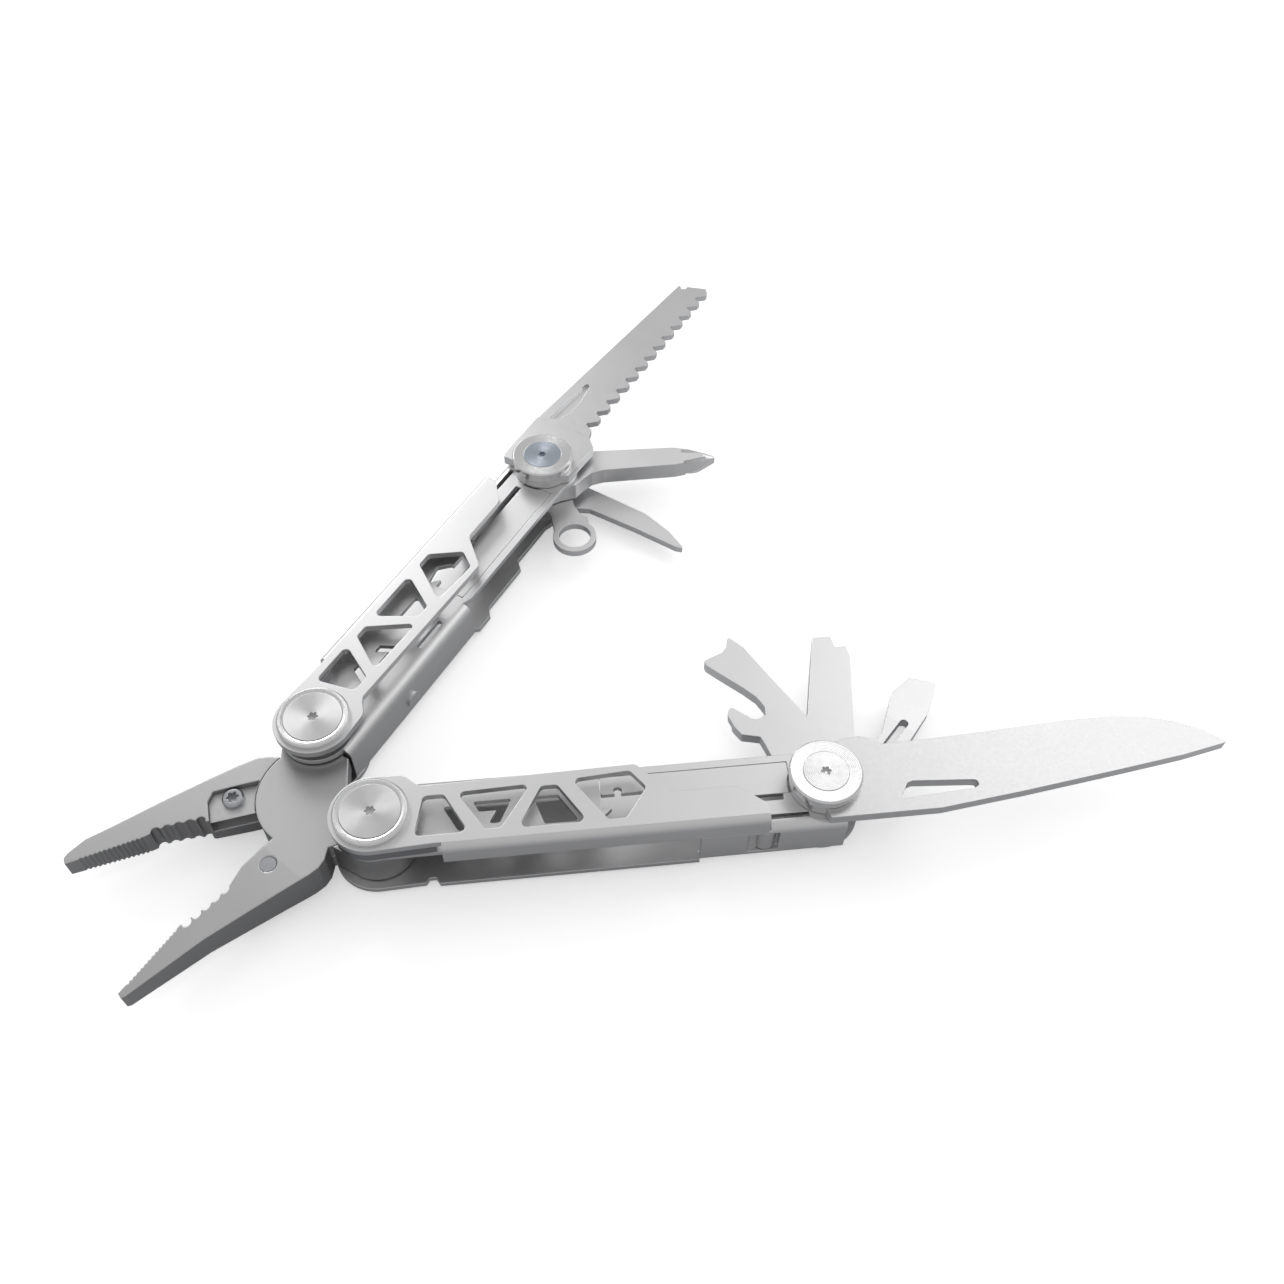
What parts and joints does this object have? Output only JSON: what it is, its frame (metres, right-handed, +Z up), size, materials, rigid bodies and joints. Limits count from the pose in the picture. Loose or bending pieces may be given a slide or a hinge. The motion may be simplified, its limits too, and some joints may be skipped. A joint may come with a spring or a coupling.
{
  "type": "multi tool",
  "caption": "Folding pocket multi tool opened out: needle-nose pliers between two pierced channel handles, with a knife, a wood saw, drivers, awl, chisel, can opener and lanyard ring fanned out",
  "frame": {"origin": "bottom centre of the bounding box of the opened tool as it lies on its lower round heads", "axes": "+X runs from the pliers jaws towards the tip of the knife blade, +Y towards the saw, +Z up, through the tool's thickness"},
  "size_m": [0.2332, 0.2122, 0.0172],
  "materials": {
    "satin_steel": "bead-blasted stainless steel, matt and even",
    "blade_steel": "ground stainless steel with a satin grain along the blade",
    "bright_steel": "turned and polished stainless steel",
    "spring_steel": "plain spring steel, slightly darker",
    "cutter_steel": "hard ground cutter steel"
  },
  "bodies": {
    "root": {"pliers_half_upper": "satin_steel", "pliers_pivot_pin": "bright_steel", "upper_cutter_insert": "cutter_steel", "upper_cutter_screw": "bright_steel"},
    "jaw": {"pliers_half_lower": "satin_steel", "lower_cutter_insert": "cutter_steel", "lower_cutter_screw": "bright_steel"},
    "saw_handle": {"saw_handle_channel": "satin_steel", "saw_handle_cover": "satin_steel", "saw_handle_spacer": "spring_steel", "saw_handle_lock_spring": "satin_steel", "saw_handle_leaf_spring": "spring_steel", "saw_handle_pliers_bolt": "bright_steel", "saw_handle_pliers_collar": "bright_steel", "saw_handle_pliers_nut": "bright_steel", "saw_handle_tool_bolt": "bright_steel", "saw_handle_tool_collar": "bright_steel", "saw_handle_tool_nut": "bright_steel", "saw_handle_washers": "bright_steel"},
    "knife_handle": {"knife_handle_channel": "satin_steel", "knife_handle_cover": "satin_steel", "knife_handle_spacer": "spring_steel", "knife_handle_lock_spring": "satin_steel", "knife_handle_leaf_spring": "spring_steel", "knife_handle_pliers_bolt": "bright_steel", "knife_handle_pliers_collar": "bright_steel", "knife_handle_pliers_nut": "bright_steel", "knife_handle_tool_bolt": "bright_steel", "knife_handle_tool_collar": "bright_steel", "knife_handle_tool_nut": "bright_steel", "knife_handle_washers": "bright_steel"},
    "saw": {"wood_saw": "blade_steel"},
    "cross_head_driver": {"cross_head_driver": "blade_steel"},
    "awl": {"awl": "blade_steel"},
    "lanyard_ring": {"lanyard_ring": "blade_steel"},
    "knife": {"knife_blade": "blade_steel"},
    "can_opener": {"can_opener": "blade_steel"},
    "chisel": {"chisel": "blade_steel"},
    "flat_driver": {"flat_driver": "blade_steel"},
    "saw_release": {"saw_handle_release_slide": "satin_steel"},
    "knife_release": {"knife_handle_release_slide": "satin_steel"}
  },
  "joints": [
    {"name": "jaw_hinge", "type": "hinge", "parent": "root", "child": "jaw", "pos_m": [-0.06944, -0.06362, 0.0066], "axis": [0, 0, 1], "range_deg": [-1.5, 30]},
    {"name": "saw_handle_fold", "type": "hinge", "parent": "root", "child": "saw_handle", "pos_m": [-0.07226, -0.0494, 0.0066], "axis": [0, 0, 1], "range_deg": [0, 155]},
    {"name": "knife_handle_fold", "type": "hinge", "parent": "jaw", "child": "knife_handle", "pos_m": [-0.05699, -0.07104, 0.0066], "axis": [0, 0, -1], "range_deg": [0, 155]},
    {"name": "saw_fold", "type": "hinge", "parent": "saw_handle", "child": "saw", "pos_m": [-0.03112, 0.03065, 0.01335], "axis": [0, 0, -1], "range_deg": [0, 178]},
    {"name": "cross_head_driver_fold", "type": "hinge", "parent": "saw_handle", "child": "cross_head_driver", "pos_m": [-0.03112, 0.03065, 0.0085], "axis": [0, 0, -1], "range_deg": [0, 128]},
    {"name": "awl_fold", "type": "hinge", "parent": "saw_handle", "child": "awl", "pos_m": [-0.03112, 0.03065, 0.00335], "axis": [0, 0, -1], "range_deg": [0, 89]},
    {"name": "lanyard_ring_fold", "type": "hinge", "parent": "saw_handle", "child": "lanyard_ring", "pos_m": [-0.03112, 0.03065, 0.00525], "axis": [0, 0, -1], "range_deg": [0, 54]},
    {"name": "knife_fold", "type": "hinge", "parent": "knife_handle", "child": "knife", "pos_m": [0.03222, -0.05914, 0.01335], "axis": [0, 0, 1], "range_deg": [0, 177]},
    {"name": "can_opener_fold", "type": "hinge", "parent": "knife_handle", "child": "can_opener", "pos_m": [0.03222, -0.05914, 0.0094], "axis": [0, 0, 1], "range_deg": [0, 64]},
    {"name": "chisel_fold", "type": "hinge", "parent": "knife_handle", "child": "chisel", "pos_m": [0.03222, -0.05914, 0.0066], "axis": [0, 0, 1], "range_deg": [0, 104.5]},
    {"name": "flat_driver_fold", "type": "hinge", "parent": "knife_handle", "child": "flat_driver", "pos_m": [0.03222, -0.05914, 0.0038], "axis": [0, 0, 1], "range_deg": [0, 136]},
    {"name": "saw_release_slide", "type": "slide", "parent": "saw_handle", "child": "saw_release", "axis": [-0.4571, -0.8894, 0], "range_m": [0, 0.0015]},
    {"name": "knife_release_slide", "type": "slide", "parent": "knife_handle", "child": "knife_release", "axis": [-0.9912, -0.1323, 0], "range_m": [0, 0.0015]}
  ]
}
